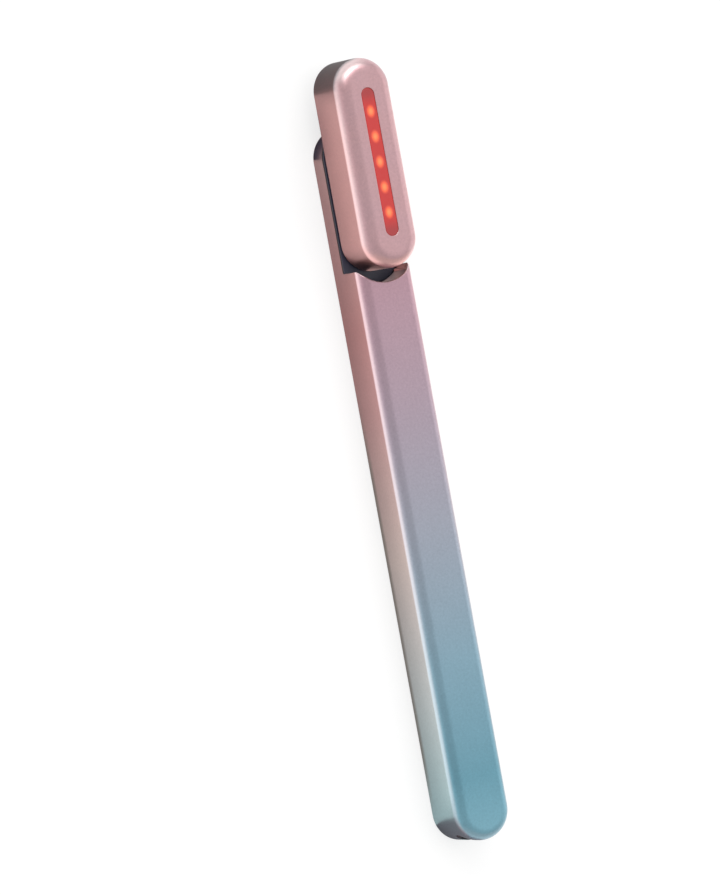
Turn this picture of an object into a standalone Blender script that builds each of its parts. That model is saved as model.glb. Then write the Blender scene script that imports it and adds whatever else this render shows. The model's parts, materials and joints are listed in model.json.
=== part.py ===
# A slim light therapy wand, lying on its flat back with its treatment face up.
# X runs along the wand towards the head, Y to the wand's left and Z out of the treatment face.
# The origin is under the middle of the wand, on the surface that it lies on. Sizes are in metres.
from math import asin, atan2, cos, pi, radians, sin, sqrt, tau

import bmesh
import bpy
from mathutils import Vector

# Overall form
wand_length = 0.190
handle_width = 0.0146
handle_depth = 0.0138
front_round = 0.00295
back_round = 0.0004
shell_wall = 0.0010
end_steps = 24

# Step where the handle's front ends below the head, concave in plan
step_gap = 0.0031
step_flare = 0.0019
lip_setback = 0.0002

# Tongue that carries the head, and the black deck on it
tongue_depth = 0.0049
tongue_overhang = 0.00975
deck_depth = 0.0008
deck_edge_round = 0.00015
plug_depth = 0.0026

# Head
head_length = 0.0507
head_width = 0.0145
head_depth = 0.0140
head_round = 0.0037
head_back_round = 0.0003
head_gap = 0.0008
face_wall = 0.0012
base_depth = 0.0012

# Window and lights
slot_end_margin = 0.00745
slot_width = 0.00344
window_recess = 0.0001
window_flange_share = 0.225
window_flange_depth = 0.0008
gasket_depth = 0.0002
led_count = 5
led_end_margin = 0.0057
led_length = 0.0030
led_width = 0.0026
led_height = 0.0007
led_board_inset = 0.0030
led_board_depth = 0.0008
carrier_wall = 0.0010

# Swivel
swivel_half_range = radians(90)
hub_radius = 0.0029
hub_bore_radius = 0.0017
hub_flange_rim = 0.0019
hub_flange_depth = 0.0008
hub_end_room = 0.0003
clip_groove_depth = 0.0006
clip_groove_width = 0.0006
clip_groove_inset = 0.00025
clip_room = 0.00025
clip_width = 0.0018
clip_opening = radians(70)
bush_wall = 0.0009
bush_flange = 0.0009
bush_flange_depth = 0.0003
washer_width = 0.0014
washer_depth = 0.0002
washer_wave = 0.00004
washer_waves = 3
stop_pin_radius = 0.0005
stop_pin_room = 0.0004
stop_groove_depth = 0.0005

# Charging inlet
socket_width = 0.00894
socket_height = 0.00326
socket_wall = 0.0003
socket_length = 0.0070
socket_setback = 0.0002
bezel_wall = 0.00042
bezel_length = 0.0032
bezel_setback = 0.00005
contact_width = 0.0067
contact_depth = 0.0007
contact_length = 0.0044
contact_block_length = 0.0015

# Tray, board and cell
tray_wall = 0.0008
tray_rim_drop = 0.00075
tray_notch = 0.0016
board_depth = 0.0010
board_end_gap = 0.0008
cell_length = 0.0445
cell_edge_round = 0.0005
cell_button_radius = 0.0019
cell_button_height = 0.0006
pad_depth = 0.0005
pad_width = 0.0040
pad_length_share = 0.7
boss_radius = 0.0014

# Power button and its switch
button_share = 0.80
button_radius = 0.0033
button_recess = 0.00025
button_edge_round = 0.0003
button_flange = 0.0007
button_flange_depth = 0.0004
button_travel = 0.0005
button_gasket_depth = 0.0003
switch_width = 0.0044
stem_radius = 0.0008
stem_reach = 0.0003

# Board components, with their places as shares of the board's length and half width
chip_places = {
    "control_chip": (0.58, -0.10, 0.0060, 0.0060, 0.0009),
    "charge_chip": (0.30, 0.35, 0.0030, 0.0030, 0.0008),
    "inductor": (0.40, -0.35, 0.0032, 0.0032, 0.0016),
}
chip_edge_round = 0.0001

# Massage motor
motor_headroom = 0.0012
motor_end_room = 0.0010
motor_nose_radius = 0.0010
motor_nose_length = 0.0004
motor_shaft_radius = 0.0004
motor_shaft_reach = 0.0008
motor_edge_round = 0.0002
boot_wall = 0.0006
boot_length_share = 0.85
weight_inset = 0.0003
weight_hub_radius = 0.0009
weight_length = 0.0028

# Screws: head radius, head depth, thread radius, thread length
neck_screw = (0.0011, 0.0004, 0.0006, 0.0031)
board_screw = (0.0011, 0.0005, 0.0006, 0.0022)
head_screw = (0.0011, 0.0005, 0.0006, 0.0045)
hub_screw = (0.0007, 0.0004, 0.0004, 0.0014)
neck_screw_setback = 0.0165
neck_screw_spread = 0.0037
board_screw_shares = (0.16, 0.92)
head_screw_inset = 0.0043
hub_screw_inset = 0.00095
hub_screw_count = 3
key_share = 0.5
key_sides = 6

# Wires
wire_radius = 0.00035
wire_spread = 0.0008
wire_bend = 0.003
wire_steps = 5
wire_poles = (("plus", "red_wire", 1), ("minus", "black_wire", -1))

# Clearances and cutters
fit_gap = 0.0001
boss_gap = 0.0003
overrun = 0.001
small_steps = 16
hub_steps = 30
round_steps = 5
smooth_angle = radians(35)

# Lines that several pieces share
half_width = handle_width / 2
inner_half_width = half_width - shell_wall
pivot_x = wand_length - head_length / 2
tongue_end = pivot_x + tongue_overhang
step_x = wand_length - head_length - step_gap
step_radius = half_width + step_flare
step_centre = step_x + step_radius
plug_start = step_x - plug_depth
cavity_top = handle_depth - shell_wall
deck_top = tongue_depth + deck_depth
hub_end_height = shell_wall + 2 * wire_radius + 2 * fit_gap + hub_end_room
clip_groove_bottom = hub_end_height + clip_groove_inset
clip_groove_top = clip_groove_bottom + clip_groove_width
deck_rib_bottom = clip_groove_top + clip_room
head_bottom = deck_top + head_gap
head_top = head_bottom + head_depth
base_top = head_bottom + base_depth
head_ceiling = head_top - face_wall
head_half_width = head_width / 2
head_half_length = head_length / 2
head_inner_half_width = head_half_width - shell_wall
head_inner_half_length = head_half_length - shell_wall
slot_length = head_length - 2 * slot_end_margin
window_flange = window_flange_share * (head_half_width - slot_width / 2)
led_pitch = (slot_length - 2 * led_end_margin) / (led_count - 1)

port_z = handle_depth / 2
bezel_width = socket_width + 2 * bezel_wall + 2 * fit_gap
bezel_height = socket_height + 2 * bezel_wall + 2 * fit_gap
board_top = port_z - socket_height / 2 - fit_gap
board_bottom = board_top - board_depth
tray_bottom = shell_wall + fit_gap
tray_floor = tray_bottom + tray_wall
tray_half_width = inner_half_width - fit_gap
tray_inner_half_width = tray_half_width - tray_wall
cell_room_up = cavity_top - tray_floor - pad_depth - 3 * fit_gap
cell_room_across = 2 * tray_inner_half_width - 2 * fit_gap
cell_radius = min(cell_room_up, cell_room_across) / 2
cell_z = tray_floor + fit_gap + cell_radius
tray_top = cell_z - tray_rim_drop
cell_end = plug_start - 2 * fit_gap - cell_button_height
cell_start = cell_end - cell_length
bulkhead_end = cell_start - fit_gap
bulkhead_start = bulkhead_end - tray_wall
board_start = bezel_length + 2 * fit_gap
board_end = bulkhead_start - board_end_gap
board_length = board_end - board_start
button_x = board_start + button_share * board_length

bush_radius = hub_radius + fit_gap + bush_wall
bush_flange_radius = bush_radius + bush_flange
clip_inner_radius = hub_radius - clip_groove_depth + fit_gap
stop_groove_radius = bush_flange_radius + stop_pin_radius + stop_pin_room
hub_flange_radius = hub_radius + hub_flange_rim
neck_screw_x = pivot_x - neck_screw_setback
flange_bottom = shell_wall + button_gasket_depth + 2 * fit_gap
flange_top = flange_bottom + button_flange_depth
switch_bottom = flange_top + button_travel + 2 * fit_gap
window_top = head_top - window_recess
window_flange_top = head_ceiling - gasket_depth - 2 * fit_gap
window_flange_bottom = window_flange_top - window_flange_depth
led_board_top = window_flange_bottom - led_height - 2 * fit_gap
led_board_bottom = led_board_top - led_board_depth
carrier_top = led_board_bottom - fit_gap
carrier_bottom = base_top + fit_gap
hub_flange_bottom = base_top + fit_gap
hub_flange_top = hub_flange_bottom + hub_flange_depth
motor_room = carrier_top - carrier_wall - motor_headroom - base_top - 2 * fit_gap
motor_radius = motor_room / 2 - boot_wall - fit_gap
motor_z = base_top + 2 * fit_gap + boot_wall + motor_radius
weight_radius = motor_radius - weight_inset
head_screw_x = head_half_length - head_screw_inset
weight_x = hub_flange_radius + 2 * boss_gap
motor_x = weight_x + weight_length + boss_gap + motor_nose_length
motor_length = head_screw_x - boss_radius - motor_end_room - motor_x


# Finishes: colour, roughness, metallic, alpha
finishes = {
    "rose_metal": ((0.50, 0.30, 0.32), 0.38, 0.85, 1.0),
    "blend_metal": ((0.38, 0.36, 0.42), 0.38, 0.85, 1.0),
    "black_plastic": ((0.012, 0.012, 0.016), 0.45, 0.0, 1.0),
    "grey_plastic": ((0.10, 0.10, 0.11), 0.5, 0.0, 1.0),
    "red_window": ((0.62, 0.05, 0.05), 0.15, 0.0, 0.6),
    "led_resin": ((1.0, 0.42, 0.12), 0.3, 0.0, 1.0),
    "board_green": ((0.02, 0.14, 0.07), 0.45, 0.0, 1.0),
    "chip_black": ((0.015, 0.015, 0.015), 0.5, 0.0, 1.0),
    "steel": ((0.55, 0.55, 0.56), 0.3, 1.0, 1.0),
    "brass": ((0.60, 0.42, 0.16), 0.3, 1.0, 1.0),
    "silicone": ((0.20, 0.20, 0.21), 0.7, 0.0, 1.0),
    "foam": ((0.30, 0.30, 0.30), 0.9, 0.0, 1.0),
    "cell_sleeve": ((0.05, 0.16, 0.32), 0.35, 0.0, 1.0),
    "tungsten": ((0.30, 0.30, 0.32), 0.35, 1.0, 1.0),
    "red_wire": ((0.45, 0.02, 0.02), 0.5, 0.0, 1.0),
    "black_wire": ((0.02, 0.02, 0.02), 0.5, 0.0, 1.0),
}


def clear_scene():
    for item in list(bpy.data.objects):
        bpy.data.objects.remove(item, do_unlink=True)


def frame_point(name, location, parent=None, rotation=(0, 0, 0)):
    empty = bpy.data.objects.new(name, None)
    bpy.context.scene.collection.objects.link(empty)
    empty.location = location
    empty.rotation_euler = rotation
    empty.parent = parent
    empty.empty_display_size = handle_width
    return empty


def finish(piece, look):
    colour, roughness, metallic, alpha = finishes[look]
    made = bpy.data.materials.new(f"{piece.name}_{look}")
    made.use_nodes = True
    shader = made.node_tree.nodes["Principled BSDF"]
    shader.inputs["Base Color"].default_value = (*colour, 1)
    shader.inputs["Roughness"].default_value = roughness
    shader.inputs["Metallic"].default_value = metallic
    shader.inputs["Alpha"].default_value = alpha
    made.diffuse_color = (*colour, alpha)
    piece.data.materials.append(made)


def place(name, mesh, parent, location=(0, 0, 0), rotation=(0, 0, 0)):
    piece = bpy.data.objects.new(name, mesh)
    bpy.context.scene.collection.objects.link(piece)
    piece.parent = parent
    piece.location = location
    piece.rotation_euler = rotation
    return piece


def mesh_from(shape, name):
    bmesh.ops.recalc_face_normals(shape, faces=shape.faces)
    mesh = bpy.data.meshes.new(name)
    shape.to_mesh(mesh)
    shape.free()
    mesh.shade_smooth()
    mesh.set_sharp_from_angle(angle=smooth_angle)
    return mesh


def make(name, shape, look, parent, location=(0, 0, 0), rotation=(0, 0, 0)):
    piece = place(name, mesh_from(shape, name), parent, location, rotation)
    finish(piece, look)
    return piece


def alter(piece, shape, operation, location=(0, 0, 0), rotation=(0, 0, 0), parent=None):
    name = f"{piece.name}_{operation.lower()}_{len(piece.modifiers) + 1}"
    tool = place(name, mesh_from(shape, name), parent or piece.parent, location, rotation)
    tool.hide_render = True
    tool.display_type = "WIRE"
    boolean = piece.modifiers.new(name, "BOOLEAN")
    boolean.operation = operation
    boolean.object = tool


def cut(piece, shape, **where):
    alter(piece, shape, "DIFFERENCE", **where)


def join(piece, shape, **where):
    alter(piece, shape, "UNION", **where)


def arc(centre, radius, start, end, steps):
    turn = (end - start) / steps
    return [
        (centre[0] + radius * cos(start + turn * i), centre[1] + radius * sin(start + turn * i))
        for i in range(steps + 1)
    ]


def circle(radius, steps=small_steps):
    return arc((0, 0), radius, 0, tau, steps)[:-1]


def stadium(x0, x1, across, steps=end_steps):
    right = arc((x1 - across, 0), across, -pi / 2, pi / 2, steps)
    left = arc((x0 + across, 0), across, pi / 2, 3 * pi / 2, steps)
    return right + left


def bullet(x0, x1, across, steps=end_steps):
    # Round towards the bottom end, square towards the head
    return arc((x0 + across, 0), across, pi / 2, 3 * pi / 2, steps) + [(x1, -across), (x1, across)]


def rectangle(x0, x1, y0, y1):
    return [(x0, y0), (x1, y0), (x1, y1), (x0, y1)]


def upright_stadium(across, height, steps=small_steps):
    # Long side along Y, for sections that are turned to face along the wand
    radius = height / 2
    reach = across / 2 - radius
    return arc((0, reach), radius, 0, pi, steps) + arc((0, -reach), radius, pi, tau, steps)


def ring_sector(inner, outer, start, end, steps):
    return arc((0, 0), outer, start, end, steps) + arc((0, 0), inner, end, start, steps)


def round_rim(shape, height, radius, steps=round_steps):
    rim = [
        edge
        for edge in shape.edges
        if all(abs(corner.co.z - height) < fit_gap / 2 for corner in edge.verts)
    ]
    bmesh.ops.bevel(shape, geom=rim, offset=radius, segments=steps, profile=0.5, affect="EDGES")


def prism(outline, z0, z1, top_round=0, bottom_round=0, steps=round_steps):
    shape = bmesh.new()
    base = shape.faces.new([shape.verts.new((x, y, z0)) for x, y in outline])
    raised = bmesh.ops.extrude_face_region(shape, geom=[base])["geom"]
    top = [item for item in raised if isinstance(item, bmesh.types.BMVert)]
    bmesh.ops.translate(shape, verts=top, vec=(0, 0, z1 - z0))
    bmesh.ops.recalc_face_normals(shape, faces=shape.faces)
    if top_round:
        round_rim(shape, z1, top_round, steps)
    if bottom_round:
        round_rim(shape, z0, bottom_round, steps)
    return shape


def turned(profile, steps=small_steps):
    # The profile is (radius, height) points in order round the section
    shape = bmesh.new()
    corners = [shape.verts.new((radius, 0, height)) for radius, height in profile]
    edges = [shape.edges.new(pair) for pair in zip(corners, corners[1:])]
    if profile[0][0] > 0:
        edges.append(shape.edges.new((corners[-1], corners[0])))
    bmesh.ops.spin(
        shape, geom=corners + edges, cent=(0, 0, 0), axis=(0, 0, 1), angle=tau, steps=steps, use_merge=True
    )
    bmesh.ops.remove_doubles(shape, verts=shape.verts, dist=fit_gap / 10)
    return shape


def box(length, across, height, edge_round=0):
    # Centred on X and Y, standing on z = 0
    shape = prism(rectangle(-length / 2, length / 2, -across / 2, across / 2), 0, height)
    if edge_round:
        bmesh.ops.bevel(
            shape, geom=shape.edges[:], offset=edge_round, segments=1, profile=0.5, affect="EDGES"
        )
    return shape


def route_curve(name, points, look, parent):
    # A wire on one smooth curve through its points
    ends = [2 * points[0] - points[1], *points, 2 * points[-1] - points[-2]]
    fine = []
    for before, start, end, after in zip(ends, ends[1:], ends[2:], ends[3:]):
        for i in range(wire_steps):
            t = i / wire_steps
            near = 2 * start + (end - before) * t
            bend = (2 * before - 5 * start + 4 * end - after) * t ** 2
            fine.append((near + bend + (3 * start - before - 3 * end + after) * t ** 3) / 2)
    fine.append(points[-1])
    data = bpy.data.curves.new(name, "CURVE")
    data.dimensions = "3D"
    data.bevel_depth = wire_radius
    data.bevel_resolution = 1
    data.use_fill_caps = True
    line = data.splines.new("POLY")
    line.points.add(len(fine) - 1)
    for point, place_on in zip(line.points, fine):
        point.co = (*place_on, 1)
    piece = place(name, data, parent)
    finish(piece, look)
    return piece


def screw(name, sizes, parent, location, rotation=(0, 0, 0)):
    # Head at the bottom, thread pointing up, six-sided key recess in the head
    head_radius, head_height, thread_radius, thread_length = sizes
    profile = [(0, 0), (head_radius, 0), (head_radius, head_height), (thread_radius, head_height)]
    profile += [(thread_radius, head_height + thread_length - thread_radius / 2)]
    profile += [(thread_radius / 2, head_height + thread_length), (0, head_height + thread_length)]
    piece = make(name, turned(profile), "steel", parent, location, rotation)
    key = prism(circle(head_radius * key_share, key_sides), -overrun, head_height * key_share)
    cut(piece, key, location=location, rotation=rotation)


def step_region(radius, far_x):
    sides = arc((step_centre, 0), radius, pi / 2, 3 * pi / 2, 2 * end_steps)
    return sides + [(far_x, -radius), (far_x, radius)]


def make_handle_shell(wand):
    outline = stadium(0, tongue_end, half_width)
    body = prism(outline, 0, handle_depth, front_round, back_round)
    shell = make("handle_shell", body, "blend_metal", wand)
    inner = stadium(shell_wall, tongue_end - shell_wall, inner_half_width)
    cut(shell, prism(inner, shell_wall, cavity_top, front_round - shell_wall))
    above_tongue = step_region(step_radius, tongue_end + overrun)
    cut(shell, prism(above_tongue, tongue_depth, handle_depth + overrun))
    port = upright_stadium(bezel_width + 2 * fit_gap, bezel_height + 2 * fit_gap)
    cut(shell, prism(port, -overrun, half_width), location=(0, 0, port_z), rotation=(0, pi / 2, 0))
    button_hole = prism(circle(button_radius + fit_gap, 2 * small_steps), -overrun, shell_wall + overrun)
    cut(shell, button_hole, location=(button_x, 0, 0))
    for side in (1, -1):
        place_on = (neck_screw_x, side * neck_screw_spread, 0)
        boss = prism(circle(boss_radius), shell_wall / 2, deck_rib_bottom - fit_gap)
        join(shell, boss, location=place_on)
        pilot = prism(circle(neck_screw[2] + fit_gap), shell_wall + fit_gap, deck_rib_bottom + overrun)
        cut(shell, pilot, location=place_on)


def make_neck_cap(wand):
    across = inner_half_width - fit_gap
    plug = stadium(plug_start - across, tongue_end - shell_wall - fit_gap, across)
    plug_round = front_round - shell_wall - fit_gap
    body = prism(plug, deck_rib_bottom, cavity_top - fit_gap, plug_round)
    cap = make("neck_cap", body, "black_plastic", wand)
    behind = rectangle(plug_start - 2 * across, plug_start, -handle_width, handle_width)
    cut(cap, prism(behind, 0, handle_depth + overrun))
    deck_middle = (tongue_depth + deck_top) / 2
    above_deck = step_region(step_radius + lip_setback, tongue_end)
    cut(cap, prism(above_deck, deck_middle, handle_depth + overrun))
    join(cap, prism(deck_outline(), tongue_depth + fit_gap, deck_top, deck_edge_round, steps=2))
    bore = prism(circle(bush_radius + fit_gap, 2 * small_steps), 0, head_bottom)
    cut(cap, bore, location=(pivot_x, 0, 0))
    reach = swivel_half_range + (stop_pin_radius + fit_gap) / stop_groove_radius
    near = stop_groove_radius - stop_pin_radius - fit_gap
    far = stop_groove_radius + stop_pin_radius + fit_gap
    groove = ring_sector(near, far, -reach, reach, end_steps)
    cut(cap, prism(groove, deck_top - stop_groove_depth, head_bottom), location=(pivot_x, 0, 0))
    for side in (1, -1):
        place_on = (neck_screw_x, side * neck_screw_spread, 0)
        cut(cap, prism(circle(neck_screw[2] + fit_gap), 0, head_bottom), location=place_on)
        sink = prism(circle(neck_screw[0] + fit_gap), deck_top - neck_screw[1] - 2 * fit_gap, head_bottom)
        cut(cap, sink, location=place_on)


def deck_outline():
    # Full width beyond the step, and a narrower tail that runs back into the plug
    radius = step_radius - fit_gap
    tail = inner_half_width - fit_gap - lip_setback
    widest = asin(half_width / radius)
    narrowest = asin(tail / radius)
    end = arc((tongue_end - half_width, 0), half_width, -pi / 2, pi / 2, end_steps)
    left = arc((step_centre, 0), radius, pi - widest, pi - narrowest, round_steps)
    right = arc((step_centre, 0), radius, pi + narrowest, pi + widest, round_steps)
    tail_x = (plug_start + step_x) / 2
    return end + left + [(tail_x, tail), (tail_x, -tail)] + right


def make_neck_screws(wand):
    for number, side in ((1, 1), (2, -1)):
        place_on = (neck_screw_x, side * neck_screw_spread, deck_top - fit_gap)
        screw(f"neck_screw_{number}", neck_screw, wand, place_on, (pi, 0, 0))


def make_chassis(wand):
    outline = bullet(shell_wall + fit_gap, plug_start - fit_gap, tray_half_width)
    tray = make("chassis", prism(outline, tray_bottom, tray_top), "grey_plastic", wand)
    pocket_start = shell_wall + fit_gap + tray_wall
    front_pocket = bullet(pocket_start, bulkhead_start, tray_inner_half_width)
    cut(tray, prism(front_pocket, tray_floor, handle_depth))
    across = tray_inner_half_width
    back_pocket = rectangle(bulkhead_end, plug_start + overrun, -across, across)
    cut(tray, prism(back_pocket, tray_floor, handle_depth))
    above_board = rectangle(-overrun, board_end + fit_gap, -handle_width, handle_width)
    cut(tray, prism(above_board, board_bottom - fit_gap, handle_depth))
    lead_window = rectangle(0, 2 * tray_wall + board_end_gap, -tray_notch, tray_notch)
    for side in (1, -1):
        notch_y = side * (tray_inner_half_width - tray_notch)
        notch = prism(lead_window, tray_floor, handle_depth)
        cut(tray, notch, location=(bulkhead_start - tray_wall / 2, notch_y, 0))
    key_hole = circle(button_radius + button_flange + 2 * fit_gap, 2 * small_steps)
    cut(tray, prism(key_hole, 0, tray_floor + overrun), location=(button_x, 0, 0))
    for share in board_screw_shares:
        x = board_start + share * board_length
        boss = prism(circle(boss_radius), tray_bottom + fit_gap, board_bottom - fit_gap)
        join(tray, boss, location=(x, 0, 0))
        pilot = prism(circle(board_screw[2] + fit_gap), tray_floor, board_top)
        cut(tray, pilot, location=(x, 0, 0))


def make_board(wand):
    outline = bullet(board_start, board_end, tray_half_width)
    board = make("main_board", prism(outline, board_bottom, board_top), "board_green", wand)
    for number, share in enumerate(board_screw_shares, 1):
        x = board_start + share * board_length
        hole = prism(circle(board_screw[2] + fit_gap), board_bottom - overrun, board_top + overrun)
        cut(board, hole, location=(x, 0, 0))
        top_of_head = board_top + fit_gap + board_screw[1]
        screw(f"board_screw_{number}", board_screw, wand, (x, 0, top_of_head), (pi, 0, 0))
    for name, (along, across, length, width, height) in chip_places.items():
        place_on = (board_start + along * board_length, across * tray_half_width, board_top + fit_gap)
        make(name, box(length, width, height, chip_edge_round), "chip_black", wand, place_on)


def make_cell(wand):
    body = cell_length - cell_button_height
    edge = cell_edge_round
    profile = [(0, 0), (cell_radius - edge, 0), (cell_radius, edge), (cell_radius, body - edge)]
    profile += [(cell_radius - edge, body), (cell_button_radius, body)]
    profile += [(cell_button_radius, body + cell_button_height), (0, body + cell_button_height)]
    place_on = (cell_start, 0, cell_z)
    cell = turned(profile, 2 * small_steps)
    make("battery_cell", cell, "cell_sleeve", wand, place_on, (0, pi / 2, 0))
    pad = box(cell_length * pad_length_share, pad_width, cavity_top - cell_z - cell_radius - 2 * fit_gap)
    place_on = (cell_start + cell_length / 2, 0, cell_z + cell_radius + fit_gap)
    make("battery_pad", pad, "foam", wand, place_on)


def make_handle_leads(wand):
    # From under the board's end, along the tray's corners and the tongue to the swivel
    run_y = tray_inner_half_width - 2 * wire_radius
    run_z = tray_floor + wire_radius + fit_gap
    low_z = shell_wall + wire_radius + fit_gap
    board_z = board_bottom - wire_radius - fit_gap
    for pole, look, side in wire_poles:
        tail = side * wire_spread
        points = [
            Vector((board_end - 3 * wire_bend, side * run_y, board_z)),
            Vector((board_end - 2 * wire_bend, side * run_y, (board_z + run_z) / 2)),
            Vector((board_end - wire_bend, side * run_y, run_z)),
            Vector((bulkhead_end, side * run_y, run_z)),
            Vector((plug_start - wire_bend, side * run_y, run_z)),
            Vector((step_x, side * (run_y + wire_spread) / 2, run_z)),
            Vector((neck_screw_x - 2 * wire_bend, 2 * tail, low_z)),
            Vector((neck_screw_x, tail, low_z)),
            Vector((pivot_x - wire_bend, tail, low_z)),
            Vector((pivot_x, tail, low_z)),
        ]
        route_curve(f"handle_lead_{pole}", points, look, wand)


def make_battery_leads(wand):
    # From the cell's end over the tray's cross wall to the board
    solder_z = board_top + wire_radius + fit_gap
    for pole, look, side in wire_poles:
        y = side * 2 * wire_spread
        points = [
            Vector((cell_start - 2 * wire_radius, y, cell_z)),
            Vector((bulkhead_start - wire_radius, y, cell_z + wire_spread)),
            Vector((board_end - wire_radius, y, cell_z)),
            Vector((board_end - wire_bend, y, solder_z)),
            Vector((board_end - 2 * wire_bend, y, solder_z)),
        ]
        route_curve(f"battery_lead_{pole}", points, look, wand)


def make_head_leads(head):
    # Up through the hollow hub to the lights' board
    plate_z = carrier_top - carrier_wall
    for pole, look, side in wire_poles:
        y = side * wire_spread
        points = [
            Vector((0, y, hub_end_height + fit_gap)),
            Vector((0, y, base_top)),
            Vector((0, y, hub_flange_top + wire_bend)),
            Vector((-wire_bend / 2, y, (hub_flange_top + plate_z) / 2)),
            Vector((-wire_bend, y, plate_z)),
            Vector((-wire_bend, y, led_board_bottom - fit_gap)),
        ]
        route_curve(f"head_lead_{pole}", points, look, head)


def make_inlet(wand):
    turn = (0, pi / 2, 0)
    ring = prism(upright_stadium(bezel_width, bezel_height), 0, bezel_length)
    bezel = make("usb_bezel", ring, "black_plastic", wand, (0, 0, port_z), turn)
    end_form = stadium(bezel_setback, tongue_end, half_width - bezel_setback, 2 * end_steps)
    alter(bezel, prism(end_form, 0, handle_depth), "INTERSECT")
    opening = upright_stadium(socket_width + 2 * fit_gap, socket_height + 2 * fit_gap)
    cut(bezel, prism(opening, -overrun, bezel_length + overrun), location=(0, 0, port_z), rotation=turn)

    corner = half_width - sqrt(half_width ** 2 - (socket_width / 2) ** 2)
    mouth_x = corner + socket_setback
    place_on = (mouth_x, 0, port_z)
    section = upright_stadium(socket_width, socket_height)
    socket = make("usb_socket", prism(section, 0, socket_length), "steel", wand, place_on, turn)
    hollow = upright_stadium(socket_width - 2 * socket_wall, socket_height - 2 * socket_wall)
    cut(socket, prism(hollow, -overrun, socket_length + overrun), location=place_on, rotation=turn)

    inset = 2 * socket_wall + 2 * fit_gap
    filler = upright_stadium(socket_width - inset, socket_height - inset)
    back = socket_length - contact_block_length
    body = prism(filler, back, socket_length)
    block = make("usb_contact_block", body, "black_plastic", wand, place_on, turn)
    blade = rectangle(-contact_depth / 2, contact_depth / 2, -contact_width / 2, contact_width / 2)
    blade_end = back + contact_block_length / 2
    join(block, prism(blade, back - contact_length, blade_end), location=place_on, rotation=turn)


def make_button(wand, key):
    edge = button_edge_round
    rim = button_radius + button_flange
    profile = [(0, button_recess), (button_radius - edge, button_recess)]
    profile += [(button_radius, button_recess + edge), (button_radius, flange_bottom)]
    profile += [(rim, flange_bottom), (rim, flange_top), (0, flange_top)]
    make("power_button", turned(profile, 2 * small_steps), "black_plastic", key)
    stem_top = switch_bottom + stem_reach
    stem = prism(circle(stem_radius), flange_top + fit_gap, stem_top)
    make("switch_stem", stem, "grey_plastic", key)
    body = box(switch_width, switch_width, board_bottom - fit_gap - switch_bottom, chip_edge_round)
    place_on = (button_x, 0, switch_bottom)
    switch = make("tact_switch", body, "chip_black", wand, place_on)
    bore = prism(circle(stem_radius + fit_gap), -overrun, stem_reach + button_travel + fit_gap)
    cut(switch, bore, location=place_on)
    inner = button_radius + fit_gap
    z0 = shell_wall + fit_gap
    z1 = z0 + button_gasket_depth
    ring = turned([(inner, z0), (rim, z0), (rim, z1), (inner, z1)], 2 * small_steps)
    make("button_gasket", ring, "silicone", wand, (button_x, 0, 0))


def make_swivel(wand, head):
    z0 = deck_rib_bottom
    z1 = deck_top + fit_gap / 2
    z2 = z1 + bush_flange_depth
    inner = hub_radius + fit_gap
    profile = [(inner, z0), (bush_radius, z0), (bush_radius, z1), (bush_flange_radius, z1)]
    profile += [(bush_flange_radius, z2), (inner, z2)]
    make("pivot_bush", turned(profile, 2 * small_steps), "brass", wand, (pivot_x, 0, 0))

    outer = inner + washer_width
    z3 = (z2 + head_bottom - washer_depth) / 2
    z4 = z3 + washer_depth
    washer = turned([(inner, z3), (outer, z3), (outer, z4), (inner, z4)], 2 * small_steps)
    for corner in washer.verts:
        turn = atan2(corner.co.y, corner.co.x)
        corner.co.z += washer_wave * cos(washer_waves * turn)
    make("friction_washer", washer, "steel", head)

    neck = hub_radius - clip_groove_depth
    profile = [(hub_bore_radius, hub_end_height), (hub_radius, hub_end_height)]
    profile += [(hub_radius, clip_groove_bottom), (neck, clip_groove_bottom)]
    profile += [(neck, clip_groove_top), (hub_radius, clip_groove_top), (hub_radius, hub_flange_bottom)]
    profile += [(hub_flange_radius, hub_flange_bottom), (hub_flange_radius, hub_flange_top)]
    profile += [(hub_bore_radius, hub_flange_top)]
    hub = make("swivel_hub", turned(profile, hub_steps), "steel", head)
    for place_on in hub_screw_places():
        hole = prism(circle(hub_screw[2] + fit_gap), base_top, hub_flange_top + overrun)
        cut(hub, hole, location=place_on)
    clip_outer_radius = clip_inner_radius + clip_width
    clip_start = clip_opening / 2
    clip = ring_sector(clip_inner_radius, clip_outer_radius, clip_start, tau - clip_start, end_steps)
    clip_ring = prism(clip, clip_groove_bottom + fit_gap, clip_groove_top - fit_gap)
    make("hub_clip", clip_ring, "steel", head)
    for number, (x, y, _) in enumerate(hub_screw_places(), 1):
        top_of_head = hub_flange_top + fit_gap + hub_screw[1]
        screw(f"hub_screw_{number}", hub_screw, head, (x, y, top_of_head), (pi, 0, 0))

    pin_bottom = deck_top - stop_groove_depth + fit_gap
    pin = prism(circle(stop_pin_radius), pin_bottom, base_top - fit_gap)
    make("stop_pin", pin, "steel", head, (stop_groove_radius, 0, 0))


def hub_screw_places():
    radius = hub_flange_radius - hub_screw_inset
    first = tau / hub_steps / 2
    turns = [first + tau * i / hub_screw_count for i in range(hub_screw_count)]
    return [(radius * cos(turn), radius * sin(turn), 0) for turn in turns]


def make_head_shell(head):
    outline = stadium(-head_half_length, head_half_length, head_half_width)
    body = prism(outline, head_bottom, head_top, head_round, head_back_round)
    shell = make("head_shell", body, "rose_metal", head)
    inner = stadium(-head_inner_half_length, head_inner_half_length, head_inner_half_width)
    hollow = prism(inner, head_bottom - overrun, head_ceiling, head_round - shell_wall)
    cut(shell, hollow)
    slot = stadium(-slot_length / 2, slot_length / 2, slot_width / 2, small_steps)
    cut(shell, prism(slot, head_ceiling - overrun, head_top + overrun))


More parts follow.
